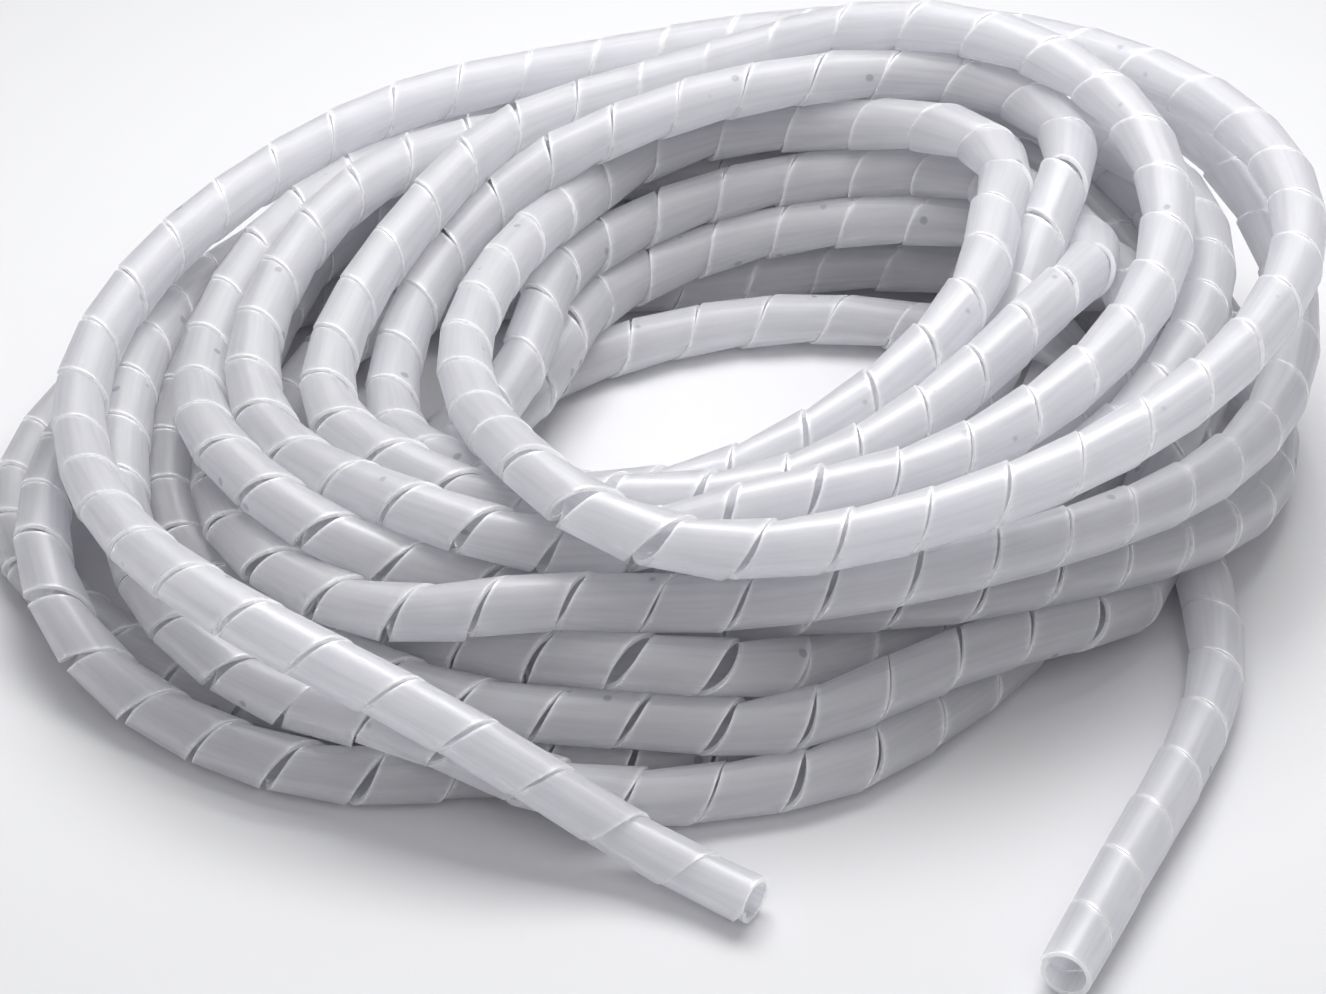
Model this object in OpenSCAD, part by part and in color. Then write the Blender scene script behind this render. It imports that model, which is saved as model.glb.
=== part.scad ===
// Spiral-cut polyethylene guard tube, lying flat as one loose oval coil with its two ends free.
// Origin: on the surface it rests on, under the middle of the whole part's box.
// +Z is up, +Y is towards the high side of the coil, and the two free ends point to -Y.

/* [Tube] */
// Outside diameter of the tube
tube_od = 12; // [10:0.5:14]
// Thickness of the tube's wall
wall = 1.1; // [0.8:0.1:1.6]
// Outside diameter at the two cut ends, where the windings close up
end_od = 11; // [9:0.5:13]
// Length of the straight stretch at each cut end
end_len = 20; // [16:1:30]

/* [Coil] */
// Outer radius of the coil, as the mean of its long and short sides
coil_r = 130; // [122:1:138]
// Stretch of the coil along its long axis
stretch = 1.15; // [1:0.01:1.2]
// Direction of the long axis, in degrees from +X
long_axis = 18; // [0:1:45]
// Height of the coil over its middle
coil_h = 60; // [50:1:70]
// Slope of the coil's top, which rises to the back right, in degrees
top_tilt = 6.5; // [0:0.5:8]

/* [Eye] */
// Radius of the open eye at the floor
eye_r = 47; // [40:1:50]
// Radius of the open eye at the top of the coil
eye_top_r = 60; // [50:1:66]
// Middle of the eye, from the middle of the coil
eye_pos = [13, 3]; // [-15:1:15]

/* [Finish] */
// Colour of natural polyethylene
tube_colour = "#e6e8ee";

/* [Hidden] */
$fn = 96;
eps = 0.01;                      // how far a cutting solid stands past what it cuts

middle = [0.5, 26.5, 0];         // the coil's middle, from the origin
edge_round = 6;                  // rounding of the coil's outer bottom edge
rise_dir = 45;                   // direction in which the coil's top rises
shoulder_r = 152;                // radius of the shoulder cone at the floor
shoulder_slope = 0.6;            // how much the shoulder's radius shrinks for each mm of height
shoulder_shift = 20;             // how far the shoulder's axis stands towards the high side
cut_size = 400;                  // size of the solids that cut the top and the base
floor_cut = 0.5;                 // how far the coil's wall reaches below the floor before it is cut
eye_lean = 8;                    // how far the eye leans back towards +Y, in degrees
sides = 12;                      // sides of the swept tails

tube_r = tube_od / 2;
end_r = end_od / 2;
bore_r = end_r - wall;

// Mouth of each cut end, from the coil's middle, and the direction in which it points
front_mouth = [18, -143, end_r + 0.1];
front_dir = unit([0.85, -0.53, -0.09]);
right_mouth = [77, -164, end_r];
right_dir = unit([-0.434, -0.901, 0]);

// Route of each free end, from the coil's middle: from where it leaves the coil to its straight stretch
front_route = [
    [-130, -6, 30], [-127, -25, 32], [-121, -44, 34], [-113, -62, 36],
    [-103, -76, 37], [-90, -88, 37], [-77, -98, 36], [-64, -105, 33], [-51, -110, 28],
    [-38, -114.5, 21.5], [-26, -119, 16.5], [-14, -124.5, 12],
    front_mouth - end_len * front_dir
];
right_route = [
    [110, -17, 6], [114, -28, 6], [117.5, -39, 6], [119.5, -50, 6], [119.5, -61, 6],
    [118, -72, 6], [114.5, -83.5, 6], [110, -95, 6], [105, -106.5, 6], [99.5, -118, 6],
    [93.5, -130, 6], right_mouth - end_len * right_dir
];

function unit(v) = v / norm(v);

// Direction of a route at point i: along the chord between its neighbours
function heading(pts, i) = unit(pts[min(i + 1, len(pts) - 1)] - pts[max(i - 1, 0)]);

// One ring of a swept tube, square to the heading, with a corner at the bottom
function ring(p, dir, r) =
    let (side = unit(cross([0, 0, 1], dir)), up = cross(dir, side))
    [for (k = [0 : sides - 1]) p + r * (sin(360 * k / sides) * side - cos(360 * k / sides) * up)];

// The tail narrows from the tube's radius to the cut end's over its last third
function tail_r(i, n) = tube_r + (end_r - tube_r) * max(0, (i / n - 2 / 3) * 3);

module swept_tube(pts, end_dir) {
    n = len(pts) - 1;
    rings = [for (i = [0 : n]) ring(pts[i], i == n ? end_dir : heading(pts, i), tail_r(i, n))];
    walls = [for (i = [0 : n - 1], k = [0 : sides - 1])
        let (a = i * sides + k, b = i * sides + (k + 1) % sides)
        [a, b, b + sides, a + sides]];
    start_face = [[for (k = [sides - 1 : -1 : 0]) k]];
    end_face = [[for (k = [0 : sides - 1]) n * sides + k]];
    polyhedron(points = [for (r = rings) each r], faces = concat(walls, start_face, end_face));
}

// Turns a solid that points along +Z so that it points along dir
module point_along(dir) {
    rotate([0, acos(dir[2]), atan2(dir[1], dir[0])]) children();
}

module coil() {
    color(tube_colour) translate(middle) difference() {
        intersection() {
            coil_body();
            coil_shoulder();
            coil_top();
            coil_floor();
        }
        coil_eye();
    }
}

// Oval outer wall, with its bottom edge rounded. It reaches a little below the floor, where coil_floor cuts it
module coil_body() {
    round_z = edge_round - floor_cut;
    rotate([0, 0, long_axis]) scale([stretch, 1 / stretch, 1]) rotate_extrude() {
        translate([0, -floor_cut]) square([coil_r - edge_round, coil_h * 2]);
        translate([0, round_z]) square([coil_r, coil_h * 2 - edge_round]);
        translate([coil_r - edge_round, round_z]) circle(edge_round);
    }
}

// Everything above the floor, so that the coil's base is one true plane
module coil_floor() {
    translate([-cut_size, -cut_size, 0]) cube([cut_size * 2, cut_size * 2, cut_size]);
}

// The turns lie in a slope on the low side, where the front tail rests on them
module coil_shoulder() {
    cone_h = coil_h * 2;
    rotate([0, 0, rise_dir]) translate([shoulder_shift, 0, -floor_cut]) rotate([0, 0, long_axis - rise_dir])
        scale([stretch, 1 / stretch, 1])
            cylinder(h = cone_h, r1 = shoulder_r, r2 = shoulder_r - shoulder_slope * cone_h);
}

module coil_top() {
    rotate([0, 0, rise_dir]) translate([0, 0, coil_h]) rotate([0, -top_tilt, 0])
        translate([-cut_size, -cut_size, -cut_size]) cube([cut_size * 2, cut_size * 2, cut_size]);
}

module coil_eye() {
    translate([eye_pos[0], eye_pos[1], 0]) rotate([-eye_lean, 0, 0]) translate([0, 0, -coil_h / 2])
        cylinder(h = coil_h * 2, r1 = eye_r - (eye_top_r - eye_r) / 2, r2 = eye_r + (eye_top_r - eye_r) * 1.5);
}

module cut_end(mouth, dir) {
    color(tube_colour) translate(mouth) point_along(dir) difference() {
        translate([0, 0, -end_len]) cylinder(h = end_len, r = end_r);
        translate([0, 0, -end_len - eps]) cylinder(h = end_len + 2 * eps, r = bore_r);
    }
}

module front_tail() { color(tube_colour) translate(middle) swept_tube(front_route, front_dir); }
module front_end() { translate(middle) cut_end(front_mouth, front_dir); }
module right_tail() { color(tube_colour) translate(middle) swept_tube(right_route, right_dir); }
module right_end() { translate(middle) cut_end(right_mouth, right_dir); }

coil();
front_tail();
front_end();
right_tail();
right_end();
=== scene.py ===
import math
import bpy
import numpy as np
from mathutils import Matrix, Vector


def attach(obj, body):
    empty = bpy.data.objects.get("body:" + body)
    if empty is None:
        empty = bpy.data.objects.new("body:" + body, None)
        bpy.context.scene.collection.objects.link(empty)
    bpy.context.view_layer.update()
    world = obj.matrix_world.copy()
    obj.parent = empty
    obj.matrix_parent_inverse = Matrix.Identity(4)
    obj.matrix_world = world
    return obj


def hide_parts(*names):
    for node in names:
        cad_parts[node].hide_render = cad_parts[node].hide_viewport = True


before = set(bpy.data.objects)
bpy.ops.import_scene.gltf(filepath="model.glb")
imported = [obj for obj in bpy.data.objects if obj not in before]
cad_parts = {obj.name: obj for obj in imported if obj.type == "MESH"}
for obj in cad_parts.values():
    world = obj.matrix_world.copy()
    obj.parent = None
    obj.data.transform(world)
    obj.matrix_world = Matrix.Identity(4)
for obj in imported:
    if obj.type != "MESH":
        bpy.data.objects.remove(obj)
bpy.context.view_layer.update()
print("frame:", sorted(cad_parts))

mm = 0.001      # one Blender unit is a metre

# The spiral-cut tube, all in millimetres
tube = {
    "diameter": 12.0,
    "frontEnd": 10.4,       # its diameter at the two cut ends, where the windings close up
    "rightEnd": 11.4,
    "taper": 110.0,         # length over which it narrows to a cut end
    "wall": 1.1,
    "pitch": 17.0,          # from seam to seam where the tube lies straight
    "opening": 0.5,         # how far the seams open in a bend: 0 at its middle line, 1 on its inner side
    "stepsPerWinding": 30,
    "stripPart": 0.99,      # the strip's width as a part of the pitch
    "standProud": 1.1,      # how far an edge stands proud on the inner side of a tight bend
    "restProud": 0.2,       # and how far it does so anywhere
    "bendReach": 8.0,       # how far to each side of a point its bend is measured
    "bendGain": 4.0,        # how soon a bend counts as tight
    "wobble": 0.22,         # unevenness of the strip's radius
    "wobbleRate": 0.8,      # how often it changes in a winding
    "edgeWobble": 0.35,     # unevenness of its two cut edges
    "edgeWobbleRate": 1.1,
    "tipCurl": 1.0,         # how far the pointed tips curl into the bore
    "curlLength": 9.0,      # length of the tips that curl
    "tipBlunt": 0.3,        # how much the points of the tips are shortened
    "seed": 5,
}

# The loose coil, in millimetres. Each turn gives the radius and the height of the tube's middle
# every eighth of a turn: left, back left, back, back right, right, front right, front, front left.
coil = {
    "middle": (0.5, 26.5),
    "stretch": 1.15,
    "longAxis": 18.0,
    "pointSpacing": 6.0,
    "pointsPerTurn": 48,
    "settleSteps": 260,
    "stiffness": 0.35,      # part of each uneven bend that a step smooths out
    "stretchFix": 0.25,     # part of a stretch that each end of a link takes back
    "homePull": 0.02,       # pull towards the marks, which fades out as the tube settles
    "floorGap": 0.5,        # keeps the proud edges of the lowest turns off the floor
    "pushRange": 1.35,      # distance, in diameters, from which two turns are watched for touching
    "turns": (
        ((130, 33), (114, 47), (110, 55), (131, 67), (139, 67), (106, 58), (88, 51), (54, 48)),
        ((44, 44), (50, 42), (88, 41), (98, 54), (70, 60), (58, 52), (57, 42), (61, 38)),
        ((60, 30), (68, 38), (84, 53), (114, 62), (78, 49), (70, 40), (66, 32), (58, 26)),
        ((38, 24), (40, 26), (79, 27), (100, 44), (87, 58), (68, 52), (69, 46), (74, 43)),
        ((73, 40), (74, 48), (98, 54), (117, 72), (109, 62), (85, 54), (80, 49), (84, 41)),
        ((91, 40), (92, 48), (102, 42), (129, 48), (119, 50), (94, 44), (78, 36), (64, 18)),
        ((46, 12), (38, 13), (73, 17), (97, 34), (104, 46), (82, 36), (79, 25), (93, 38)),
        ((103, 34), (105, 41), (113, 42), (142, 57), (140, 34), (104, 40), (91, 38), (102, 29)),
        ((104, 20), (104, 28), (94, 30), (126, 24), (139, 10), (102, 29), (84, 27), (86, 18)),
        ((90, 14), (88, 10), (79, 6), (102, 16), (112, 22), (92, 20), (96, 27), (98, 16)),
        ((112, 8), (112, 18), (106, 28), (124, 34), (118, 14), (104, 17), (101, 16), (105, 20)),
        ((106, 20), (115, 30), (120, 30), (134, 34), (118, 34), (103, 6), (111, 6), (122, 14)),
        ((119, 24), (122, 20), (118, 18), (130, 22), (108, 6), (86, 8), (103, 6), (133, 6)),
        ((134, 18), (110, 10), (96, 16), (112, 8), (100, 8), (80, 18), (84, 14), (116, 6)),
        ((146, 6), (124, 6), (110, 8), (124, 8), (96, 18), (74, 6), (72, 8), (70, 6)),
        ((58, 8), (46, 6), (57, 6), (85, 8), (113, 6)),
    ),
}

# The two free ends, from the coil's middle, in millimetres: each list runs as the tube does
frontTail = [
    (18, -143, 5.6), (1, -132.4, 7.4), (-14, -124.5, 12), (-26, -119, 16.5), (-38, -114.5, 21.5),
    (-51, -110, 28), (-64, -105, 33), (-77, -98, 36), (-90, -88, 37), (-103, -76, 37),
    (-113, -62, 36), (-121, -44, 34), (-127, -25, 32),
]
rightTail = [
    (114, -28, 6), (117.5, -39, 6), (119.5, -50, 6), (119.5, -61, 6), (118, -72, 6),
    (114.5, -83.5, 6), (110, -95, 6), (105, -106.5, 6), (99.5, -118, 6), (93.5, -130, 6),
    (85.7, -146, 6), (77, -164, 6),
]


# An sRGB hex colour as the linear one that Blender works in
def linear(hexColour):
    parts = [int(hexColour[i:i + 2], 16) / 255 for i in (0, 2, 4)]
    return [c / 12.92 if c <= 0.04045 else ((c + 0.055) / 1.055) ** 2.4 for c in parts] + [1.0]


# Adds a node with its settings, and gives each socket a value or a link
def addNode(tree, kind, values=None, **settings):
    made = tree.nodes.new(kind)
    for name, value in settings.items():
        setattr(made, name, value)
    for socket, value in (values or {}).items():
        if isinstance(value, bpy.types.NodeSocket):
            tree.links.new(value, made.inputs[socket])
        else:
            made.inputs[socket].default_value = value
    return made


def ovalRadius(angle):
    a = np.radians(angle - coil["longAxis"])
    return 1 / np.hypot(np.cos(a) / coil["stretch"], np.sin(a) * coil["stretch"])


# A smooth curve through the values at the knots
def smoothThrough(at, knots, values):
    slope = np.gradient(values, knots, axis=0)
    i = np.clip(np.searchsorted(knots, at) - 1, 0, len(knots) - 2)
    h = knots[i + 1] - knots[i]
    t = (at - knots[i]) / h
    if values.ndim > 1:
        h, t = h[:, None], t[:, None]
    before, after = values[i], values[i + 1]
    return ((2 * t**3 - 3 * t**2 + 1) * before + (t**3 - 2 * t**2 + t) * h * slope[i]
            + (3 * t**2 - 2 * t**3) * after + (t**3 - t**2) * h * slope[i + 1])


def coilPoints():
    marks = [mark for turn in coil["turns"] for mark in turn]
    eighth = 45.0 * np.arange(len(marks))
    radius = np.array([m[0] for m in marks]) / ovalRadius(180 - eighth)
    height = np.array([m[1] for m in marks], float)
    swept = np.arange(0, eighth[-1] + 1e-6, 360 / coil["pointsPerTurn"])
    r = smoothThrough(swept, eighth, radius) * ovalRadius(180 - swept)
    a = np.radians(180 - swept)
    return np.column_stack([r * np.cos(a), r * np.sin(a), smoothThrough(swept, eighth, height)])


def alongLength(points):
    return np.r_[0, np.cumsum(np.linalg.norm(np.diff(points, axis=0), axis=1))]


def evenly(points, spacing):
    s = alongLength(points)
    return smoothThrough(np.linspace(0, s[-1], int(round(s[-1] / spacing)) + 1), s, points)


# Lets the tube settle: its turns push each other apart, and it keeps its length, bends smoothly
# and stays on the floor
def settle(points, radius):
    p, home = points.copy(), points.copy()
    count = len(p)
    spacing = alongLength(p)[-1] / (count - 1)
    apart = int(3 * tube["diameter"] / spacing)     # points nearer along the tube don't push each other
    order = np.arange(count)
    for step in range(coil["settleSteps"]):
        if step % 3 == 0:       # finds the pairs that could touch soon
            square = (p**2).sum(1)
            distance2 = square[:, None] + square[None, :] - 2 * p @ p.T
            near = distance2 < (tube["diameter"] * coil["pushRange"]) ** 2
            one, other = np.where(near & (order[None, :] - order[:, None] > apart))
        between = p[other] - p[one]
        distance = np.linalg.norm(between, axis=1) + 1e-9
        wanted = radius[one] + radius[other]
        hit = distance < wanted
        push = between[hit] / distance[hit, None] * ((wanted - distance)[hit] / 2)[:, None]
        move, hits = np.zeros_like(p), np.zeros(count)
        np.add.at(move, one[hit], -push)
        np.add.at(move, other[hit], push)
        np.add.at(hits, one[hit], 1)
        np.add.at(hits, other[hit], 1)
        p += move / np.maximum(1, hits)[:, None]
        bend, uneven = np.zeros_like(p), np.zeros_like(p)
        bend[1:-1] = (p[:-2] + p[2:]) / 2 - p[1:-1]
        uneven[2:-2] = (bend[1:-3] + bend[3:-1]) / 2 - bend[2:-2]
        p -= coil["stiffness"] * uneven
        for _ in range(3):
            edge = p[1:] - p[:-1]
            long = np.linalg.norm(edge, axis=1)[:, None]
            fix = (long - spacing) / long * coil["stretchFix"] * edge
            p[:-1] += fix
            p[1:] -= fix
        p += (home - p) * coil["homePull"] * (1 - step / coil["settleSteps"])
        p[:, 2] = np.maximum(p[:, 2], radius + coil["floorGap"])
        p[:3], p[-4:] = home[:3], home[-4:]
    return p


def tubeRadius(s):
    knots = (0, tube["taper"], s[-1] - tube["taper"], s[-1])
    diameters = (tube["frontEnd"], tube["diameter"], tube["diameter"], tube["rightEnd"])
    return np.interp(s, knots, diameters) / 2


def wholeRoute():
    rough = np.vstack([np.array(frontTail, float), coilPoints(), np.array(rightTail, float)])
    even = evenly(rough, coil["pointSpacing"])
    radius = tubeRadius(alongLength(even))
    settled = settle(even, radius)
    settled[:, :2] += coil["middle"]
    return settled, radius


# How many windings there are up to each point: the seams open where the tube bends
def windingsAlong(points):
    s = alongLength(points)
    heading = np.gradient(points, s, axis=0)
    bend = np.linalg.norm(np.gradient(heading, s, axis=0), axis=1)
    bend = np.convolve(np.pad(bend, 4, mode="edge"), np.ones(9) / 9, mode="valid")
    pitch = tube["pitch"] * (1 + tube["opening"] * tube["diameter"] / 2 * bend)
    return np.r_[0, np.cumsum(np.diff(s) / ((pitch[1:] + pitch[:-1]) / 2))]


route, radii = wholeRoute()
windings = windingsAlong(route)


# One step of arithmetic on sockets and numbers
def calc(tree, operation, *values):
    return addNode(tree, "ShaderNodeMath", dict(enumerate(values)), operation=operation).outputs[0]


def vectorMath(tree, operation, *values, output=0, scale=None):
    made = addNode(tree, "ShaderNodeVectorMath", dict(enumerate(values)), operation=operation)
    if scale is not None:
        tree.links.new(scale, made.inputs["Scale"])
    return made.outputs[output]


stripInputs = {
    "Windings": ("NodeSocketFloat", float(windings[-1])),
    "Steps per Winding": ("NodeSocketInt", tube["stepsPerWinding"]),
    "Pitch": ("NodeSocketFloat", tube["pitch"] * mm),
    "Strip Width": ("NodeSocketFloat", tube["pitch"] * tube["stripPart"] * mm),
    "Wall": ("NodeSocketFloat", tube["wall"] * mm),
    "Stand Proud": ("NodeSocketFloat", tube["standProud"] * mm),
    "Rest Proud": ("NodeSocketFloat", tube["restProud"] * mm),
    "Bend Reach": ("NodeSocketFloat", tube["bendReach"] * mm),
    "Bend Gain": ("NodeSocketFloat", tube["bendGain"]),
    "Wobble": ("NodeSocketFloat", tube["wobble"] * mm),
    "Wobble Rate": ("NodeSocketFloat", tube["wobbleRate"]),
    "Edge Wobble": ("NodeSocketFloat", tube["edgeWobble"] * mm),
    "Edge Wobble Rate": ("NodeSocketFloat", tube["edgeWobbleRate"]),
    "Tip Curl": ("NodeSocketFloat", tube["tipCurl"] * mm),
    "Curl Length": ("NodeSocketFloat", tube["curlLength"] * mm),
    "Tip Blunt": ("NodeSocketFloat", tube["tipBlunt"] * mm),
    "Seed": ("NodeSocketFloat", float(tube["seed"])),
    "Material": ("NodeSocketMaterial", None),
}


def sampleRoute(tree, curve, at, value=None):
    made = addNode(tree, "GeometryNodeSampleCurve", mode="LENGTH", use_all_curves=False)
    tree.links.new(curve, made.inputs["Curves"])
    tree.links.new(at, made.inputs["Length"])
    if value is not None:
        tree.links.new(value, made.inputs["Value"])
    return made


def attribute(tree, name):
    return addNode(tree, "GeometryNodeInputNamedAttribute", {"Name": name}, data_type="FLOAT").outputs[0]


# A value from -1 to 1 that changes evenly along the windings
def noise(tree, at, offset, rate):
    place = calc(tree, "MULTIPLY_ADD", at, rate, offset)
    made = addNode(tree, "ShaderNodeTexNoise", {"W": place, "Scale": 1.0, "Detail": 1.0},
                   noise_dimensions="1D")
    return calc(tree, "MULTIPLY_ADD", made.outputs[0], 2.0, -1.0)


def spiralStripTree():
    tree = bpy.data.node_groups.new("spiral cut tube", "GeometryNodeTree")
    face = tree.interface
    face.new_socket("Geometry", in_out="INPUT", socket_type="NodeSocketGeometry")
    for name, (kind, _) in stripInputs.items():
        face.new_socket(name, in_out="INPUT", socket_type=kind)
    face.new_socket("Geometry", in_out="OUTPUT", socket_type="NodeSocketGeometry")
    given = addNode(tree, "NodeGroupInput").outputs

    curve = addNode(tree, "GeometryNodeMeshToCurve", {"Mesh": given["Geometry"]}).outputs[0]
    length = addNode(tree, "GeometryNodeCurveLength", {"Curve": curve}).outputs[0]
    half = calc(tree, "MULTIPLY", given["Strip Width"], 0.5)

    # A plain four-sided bar, whose rings become the steps of the strip
    steps = calc(tree, "MULTIPLY", given["Windings"], given["Steps per Winding"])
    bar = addNode(tree, "GeometryNodeCurvePrimitiveLine", {"End": (0, 0, 1)}).outputs[0]
    rings = addNode(tree, "GeometryNodeResampleCurve", {"Curve": bar, "Count": steps}).outputs[0]
    section = addNode(tree, "GeometryNodeCurvePrimitiveQuadrilateral",
                      {"Width": 0.01, "Height": 0.01}).outputs[0]
    strip = addNode(tree, "GeometryNodeCurveToMesh",
                    {"Curve": rings, "Profile Curve": section, "Fill Caps": True}).outputs[0]
    index = addNode(tree, "GeometryNodeInputIndex").outputs[0]
    ring = calc(tree, "FLOOR", calc(tree, "DIVIDE", calc(tree, "ADD", index, 0.5), 4.0))
    corner = calc(tree, "SUBTRACT", index, calc(tree, "MULTIPLY", ring, 4.0))
    middleCorner = calc(tree, "ABSOLUTE", calc(tree, "SUBTRACT", corner, 1.5))
    ahead = calc(tree, "MULTIPLY_ADD", calc(tree, "GREATER_THAN", middleCorner, 1.0), 2.0, -1.0)
    inside = calc(tree, "GREATER_THAN", corner, 1.5)

    # Where the step is along the route, and how far its corner reaches without passing the tube's end
    share = calc(tree, "DIVIDE", ring, calc(tree, "SUBTRACT", calc(tree, "FLOOR", steps), 1.0))
    reach = calc(tree, "SUBTRACT", half, given["Tip Blunt"])
    span = calc(tree, "MULTIPLY_ADD", reach, 2.0, length)
    s = calc(tree, "SUBTRACT", calc(tree, "MULTIPLY", share, span), reach)
    held = calc(tree, "MAXIMUM", calc(tree, "MINIMUM", s, length), 0.0)
    turnsSoFar = sampleRoute(tree, curve, held, attribute(tree, "windings")).outputs[0]
    spacingHere = calc(tree, "DIVIDE", calc(tree, "SUBTRACT", s, held), given["Pitch"])
    turns = calc(tree, "ADD", turnsSoFar, spacingHere)
    edgeSeed = calc(tree, "MULTIPLY_ADD", ahead, 40.0, given["Seed"])     # each edge has its own
    edgeNoise = noise(tree, turns, edgeSeed, given["Edge Wobble Rate"])
    edgeShift = calc(tree, "MULTIPLY", edgeNoise, given["Edge Wobble"])
    across = calc(tree, "MULTIPLY_ADD", ahead, half, edgeShift)
    edge = calc(tree, "MINIMUM", calc(tree, "ADD", s, across), length)
    edge = calc(tree, "MAXIMUM", edge, 0.0)
    along = calc(tree, "SUBTRACT", edge, held)

    # The tube's frame at this step, and which way the tube bends
    here = sampleRoute(tree, curve, held, attribute(tree, "tubeRadius"))
    radius, place, heading, side = here.outputs[0], here.outputs[1], here.outputs[2], here.outputs[3]
    before = sampleRoute(tree, curve, calc(tree, "SUBTRACT", held, given["Bend Reach"])).outputs[2]
    after = sampleRoute(tree, curve, calc(tree, "ADD", held, given["Bend Reach"])).outputs[2]
    bend = vectorMath(tree, "SUBTRACT", after, before)
    other = vectorMath(tree, "CROSS_PRODUCT", heading, side)
    angle = calc(tree, "MULTIPLY", turns, -math.tau)
    outwards = vectorMath(
        tree, "ADD",
        vectorMath(tree, "SCALE", side, scale=calc(tree, "COSINE", angle)),
        vectorMath(tree, "SCALE", other, scale=calc(tree, "SINE", angle)))
    innerSide = vectorMath(tree, "DOT_PRODUCT", outwards, bend, output=1)
    tight = calc(tree, "MULTIPLY", innerSide, given["Bend Gain"])
    tight = calc(tree, "MAXIMUM", calc(tree, "MINIMUM", tight, 1.0), 0.0)

    # The edge towards the tube's start stands proud on the inner side of a bend
    proud = calc(tree, "MULTIPLY_ADD", tight, given["Stand Proud"], given["Rest Proud"])
    lean = calc(tree, "MULTIPLY", calc(tree, "MULTIPLY", ahead, -0.5), proud)
    radiusNoise = noise(tree, turns, given["Seed"], given["Wobble Rate"])
    uneven = calc(tree, "MULTIPLY", radiusNoise, given["Wobble"])
    toTip = calc(tree, "MINIMUM", calc(tree, "ADD", s, reach),
                  calc(tree, "SUBTRACT", calc(tree, "ADD", length, reach), s))
    curl = calc(tree, "SUBTRACT", 1.0, calc(tree, "DIVIDE", toTip, given["Curl Length"]))
    curl = calc(tree, "MAXIMUM", curl, 0.0)
    inwards = calc(tree, "MULTIPLY", calc(tree, "MULTIPLY", curl, curl), given["Tip Curl"])
    wallDepth = calc(tree, "MULTIPLY", inside, given["Wall"])
    r = calc(tree, "ADD", radius, lean)
    r = calc(tree, "ADD", r, uneven)
    r = calc(tree, "SUBTRACT", r, inwards)
    r = calc(tree, "SUBTRACT", r, wallDepth)
    position = vectorMath(tree, "ADD", place, vectorMath(tree, "SCALE", outwards, scale=r))
    position = vectorMath(tree, "ADD", position, vectorMath(tree, "SCALE", heading, scale=along))
    wound = addNode(tree, "GeometryNodeSetPosition", {"Geometry": strip, "Position": position}).outputs[0]

    # What the material follows: the place on the tube as if it lay straight, which of the strip's
    # edges is near, and which faces are the cut ones
    grain = addNode(tree, "ShaderNodeCombineXYZ", {
        0: calc(tree, "MULTIPLY", calc(tree, "COSINE", angle), radius),
        1: calc(tree, "MULTIPLY", calc(tree, "SINE", angle), radius),
        2: calc(tree, "ADD", held, along)}).outputs[0]
    wound = addNode(tree, "GeometryNodeStoreNamedAttribute",
                    {"Geometry": wound, "Name": "grain", "Value": grain},
                    data_type="FLOAT_VECTOR", domain="POINT").outputs[0]
    wound = addNode(tree, "GeometryNodeStoreNamedAttribute",
                    {"Geometry": wound, "Name": "across", "Value": ahead},
                    data_type="FLOAT", domain="POINT").outputs[0]
    cutFace = calc(tree, "MODULO", index, 2.0)
    wound = addNode(tree, "GeometryNodeStoreNamedAttribute",
                    {"Geometry": wound, "Name": "cutFace", "Value": cutFace},
                    data_type="FLOAT", domain="FACE").outputs[0]
    edgeAngle = addNode(tree, "GeometryNodeInputMeshEdgeAngle").outputs[0]
    smooth = calc(tree, "LESS_THAN", edgeAngle, 0.6)     # radians
    wound = addNode(tree, "GeometryNodeSetShadeSmooth", {"Geometry": wound}, domain="FACE").outputs[0]
    wound = addNode(tree, "GeometryNodeSetShadeSmooth", {"Geometry": wound, "Shade Smooth": smooth},
                    domain="EDGE").outputs[0]
    wound = addNode(tree, "GeometryNodeRealizeInstances", {"Geometry": wound}).outputs[0]
    wound = addNode(tree, "GeometryNodeSetMaterial",
                    {"Geometry": wound, "Material": given["Material"]}).outputs[0]
    addNode(tree, "NodeGroupOutput", {"Geometry": wound})
    return tree


polyethylene = {
    "colour": "f6f6f8",
    # The cut faces' colour: a painted highlight, lighter than the wall, for the light line the cut edges
    # catch
    "cutFaceHighlightColour": "fefeff",
    "streakColour": "eeeef1",   # of the fine lines that the extrusion leaves along the tube
    "speckColour": "cfcfd5",    # of the small round specks in the plastic
    "streakSize": 1.1,          # millimetres across
    "streakStretch": 25.0,      # how many times longer than wide a streak is
    "streakDepth": 0.1,         # millimetres
    "speckSpacing": 13.0,       # millimetres
    "speckSize": 2.0,
    "roughness": 0.33,
    "scatterDepth": 2.2,        # millimetres
    "seeThrough": 0.3,
    "lightThrough": 0.66,       # part of the light that the wall passes on, spread out
    "rimThrough": 0.2,          # the same along the strip's two edges
    "rimWidth": 0.6,            # millimetres
}


# A Mix node's colours are its sockets 6 and 7
def mixColour(tree, part, first, second):
    return addNode(tree, "ShaderNodeMix", {0: part, 6: first, 7: second}, data_type="RGBA").outputs[2]


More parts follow.
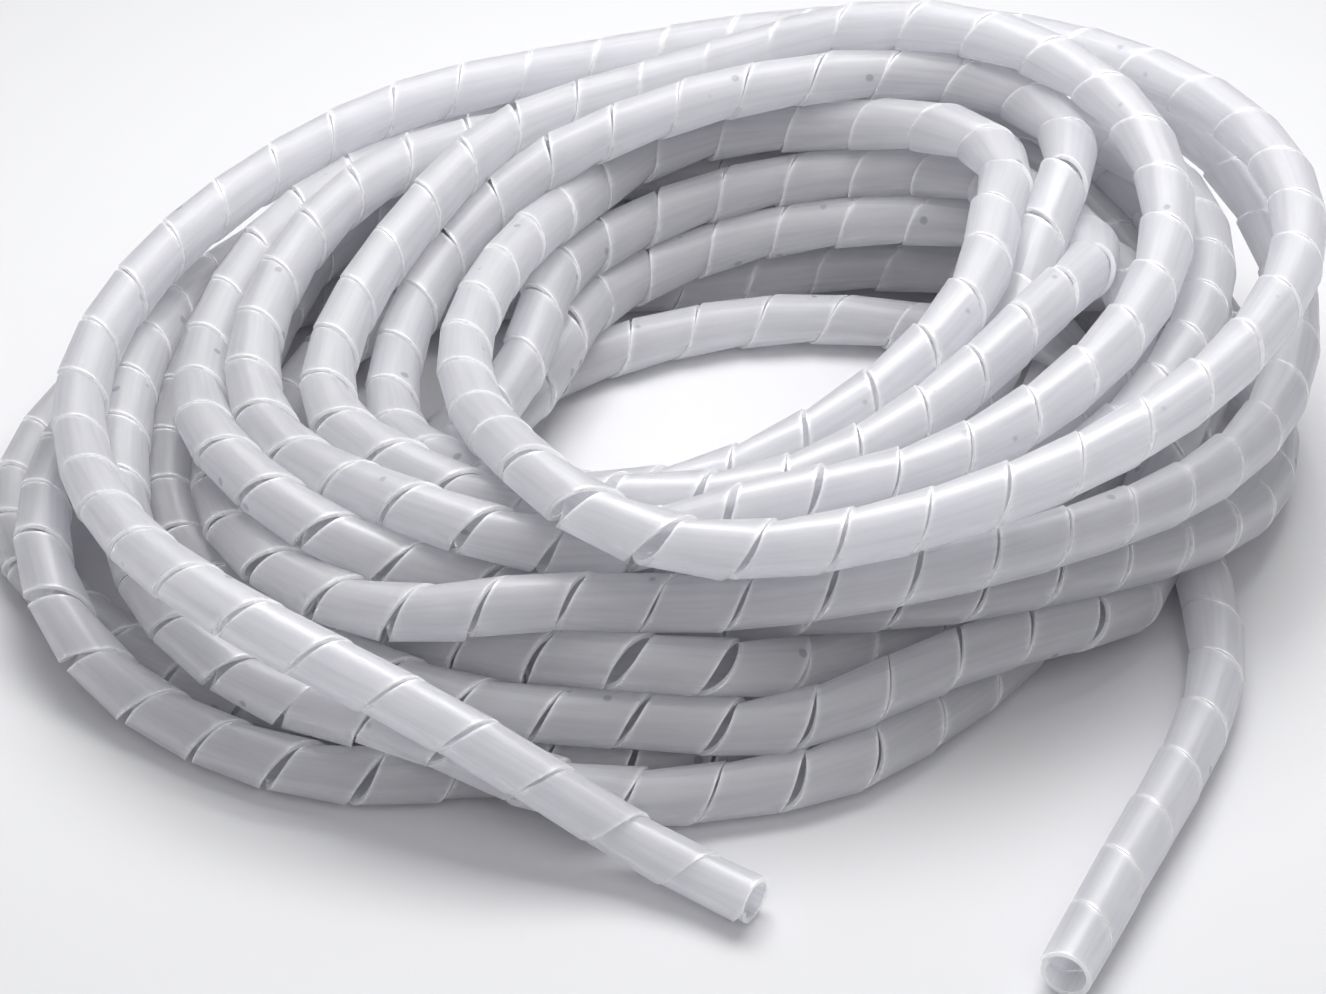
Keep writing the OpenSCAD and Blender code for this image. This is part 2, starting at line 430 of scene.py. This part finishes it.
def naturalPolyethylene():
    # Milky plastic with a soft sheen, whose thin wall glows with the light behind it
    made = bpy.data.materials.new("extruded natural LDPE")
    made.use_nodes = True
    tree = made.node_tree
    tree.nodes.clear()
    given = polyethylene
    grain = addNode(tree, "ShaderNodeAttribute", attribute_name="grain").outputs["Vector"]
    cutFace = addNode(tree, "ShaderNodeAttribute", attribute_name="cutFace").outputs["Fac"]
    # The streaks run along the tube, so their pattern is drawn out that way
    drawn = addNode(tree, "ShaderNodeMapping", {
        "Vector": grain, "Scale": (1, 1, 1 / given["streakStretch"])}).outputs[0]
    fine = 1000 / given["streakSize"]
    streaks = addNode(tree, "ShaderNodeTexNoise", {
        "Vector": drawn, "Scale": fine, "Detail": 3.0}).outputs[0]
    streaky = addNode(tree, "ShaderNodeMapRange", {0: streaks, 1: 0.42, 2: 0.68}).outputs[0]
    cells = 1000 / given["speckSpacing"]
    toSpeck = addNode(tree, "ShaderNodeTexVoronoi", {"Vector": grain, "Scale": cells}).outputs["Distance"]
    rim = given["speckSize"] / 2 / given["speckSpacing"]
    speck = addNode(tree, "ShaderNodeMapRange", {0: toSpeck, 1: rim * 1.2, 2: rim * 0.8}).outputs[0]
    colour = mixColour(tree, streaky, linear(given["colour"]), linear(given["streakColour"]))
    colour = mixColour(tree, speck, colour, linear(given["speckColour"]))
    # Painted highlight: the cut faces are painted a lighter white, standing in for the light they catch
    colour = mixColour(tree, cutFace, colour, linear(given["cutFaceHighlightColour"]))
    bump = addNode(tree, "ShaderNodeBump", {
        "Height": streaks, "Strength": 0.1, "Distance": given["streakDepth"] * mm}).outputs[0]
    shader = addNode(tree, "ShaderNodeBsdfPrincipled", {
        "Base Color": colour,
        "Roughness": given["roughness"],
        "IOR": 1.51,
        "Subsurface Weight": 1.0,
        "Subsurface Radius": (1.0, 1.0, 1.0),
        "Subsurface Scale": given["scatterDepth"] * mm,
        "Transmission Weight": given["seeThrough"],
        "Specular IOR Level": 0.5,
        "Normal": bump}).outputs[0]
    passedOn = addNode(tree, "ShaderNodeBsdfTranslucent", {"Color": colour, "Normal": bump}).outputs[0]
    across = addNode(tree, "ShaderNodeAttribute", attribute_name="across").outputs["Fac"]
    toEdge = addNode(tree, "ShaderNodeMath", {0: across}, operation="ABSOLUTE").outputs[0]
    rimStart = 1 - given["rimWidth"] / (tube["pitch"] / 2)
    passing = addNode(tree, "ShaderNodeMapRange", {
        0: toEdge, 1: rimStart - 0.02, 2: rimStart + 0.02,
        3: given["lightThrough"], 4: given["rimThrough"]}).outputs[0]
    both = addNode(tree, "ShaderNodeMixShader", {0: passing, 1: shader, 2: passedOn}).outputs[0]
    addNode(tree, "ShaderNodeOutputMaterial", {"Surface": both})
    return made


def routeMesh():
    mesh = bpy.data.meshes.new("route")
    mesh.from_pydata([tuple(p) for p in route * mm], [(i, i + 1) for i in range(len(route) - 1)], [])
    for name, values in (("windings", windings), ("tubeRadius", radii * mm)):
        mesh.attributes.new(name, "FLOAT", "POINT").data.foreach_set("value", values.astype(np.float32))
    made = bpy.data.objects.new("route", mesh)
    bpy.context.scene.collection.objects.link(made)
    return made


def woundTube():
    source = routeMesh()
    tree = spiralStripTree()
    modifier = source.modifiers.new("spiral cut tube", "NODES")
    modifier.node_group = tree
    sockets = {i.name: i.identifier for i in tree.interface.items_tree if i.in_out == "INPUT"}
    # The inputs are set by identifier, before the modifier is first evaluated
    for name, (_, value) in stripInputs.items():
        modifier[sockets[name]] = naturalPolyethylene() if name == "Material" else value
    seen = source.evaluated_get(bpy.context.evaluated_depsgraph_get())
    mesh = bpy.data.meshes.new_from_object(seen)
    source.modifiers.clear()
    bpy.data.objects.remove(source)
    made = bpy.data.objects.new("spiral_cut_tube", mesh)
    bpy.context.scene.collection.objects.link(made)
    return made


guardTube = woundTube()
print(f"tube: {len(guardTube.data.polygons)} faces")


studio = {
    "cameraDistance": 820.0,    # millimetres from the coil's middle
    "cameraElevation": 36.0,
    "lens": 96.84,
    "floorWidth": 12.0,         # metres
    "floorColour": "d8d8da",
    "surroundColour": "f4f5f8",
    "surroundStrength": 0.28,
    # Each softbox: where it stands, where it points, its size in metres, and its power
    "softBoxes": {
        "near": ((0.03, 0.12, 0.52), (0.02, 0.05, 0), (0.4, 0.35), 2.8),
        "back": ((0.05, 0.7, 0.8), (0, 0.05, 0.03), (1.2, 0.8), 3.6),
        "front": ((0.1, -0.8, 0.9), (0, 0, 0), (1.2, 0.8), 4.2),
    },
}


def addCamera():
    made = bpy.data.objects.new("camera", bpy.data.cameras.new("camera"))
    bpy.context.scene.collection.objects.link(made)
    made.data.lens = studio["lens"]
    tilt = math.radians(studio["cameraElevation"])
    away = studio["cameraDistance"] * mm
    x, y = coil["middle"]
    made.location = (x * mm, y * mm - away * math.cos(tilt), away * math.sin(tilt))
    made.rotation_euler = (math.pi / 2 - tilt, 0, 0)
    bpy.context.scene.camera = made


def addFloor():
    mesh = bpy.data.meshes.new("floor")
    w = studio["floorWidth"] / 2
    mesh.from_pydata([(-w, -w, 0), (w, -w, 0), (w, w, 0), (-w, w, 0)], [], [(0, 1, 2, 3)])
    made = bpy.data.objects.new("floor", mesh)
    bpy.context.scene.collection.objects.link(made)
    paint = bpy.data.materials.new("white studio floor")
    paint.use_nodes = True
    shader = paint.node_tree.nodes["Principled BSDF"]
    shader.inputs["Base Color"].default_value = linear(studio["floorColour"])
    shader.inputs["Roughness"].default_value = 0.9
    mesh.materials.append(paint)


def softBox(name, place, aim, size, watts):
    light = bpy.data.lights.new(name, "AREA")
    light.shape = "RECTANGLE"
    light.size, light.size_y = size
    light.energy = watts
    made = bpy.data.objects.new(name, light)
    bpy.context.scene.collection.objects.link(made)
    made.location = place
    made.rotation_euler = (Vector(aim) - Vector(place)).to_track_quat("-Z", "Y").to_euler()


def addLight():
    world = bpy.data.worlds.new("studio")
    bpy.context.scene.world = world
    world.use_nodes = True
    background = world.node_tree.nodes["Background"]
    background.inputs["Color"].default_value = linear(studio["surroundColour"])
    background.inputs["Strength"].default_value = studio["surroundStrength"]
    for name, box in studio["softBoxes"].items():
        softBox(name, *box)


addCamera()
addFloor()
addLight()
bpy.context.scene.view_settings.view_transform = "Standard"
print(f"studio: {len(studio['softBoxes'])} softboxes, camera {studio['cameraDistance']:.0f} mm away")

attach(guardTube, "root")
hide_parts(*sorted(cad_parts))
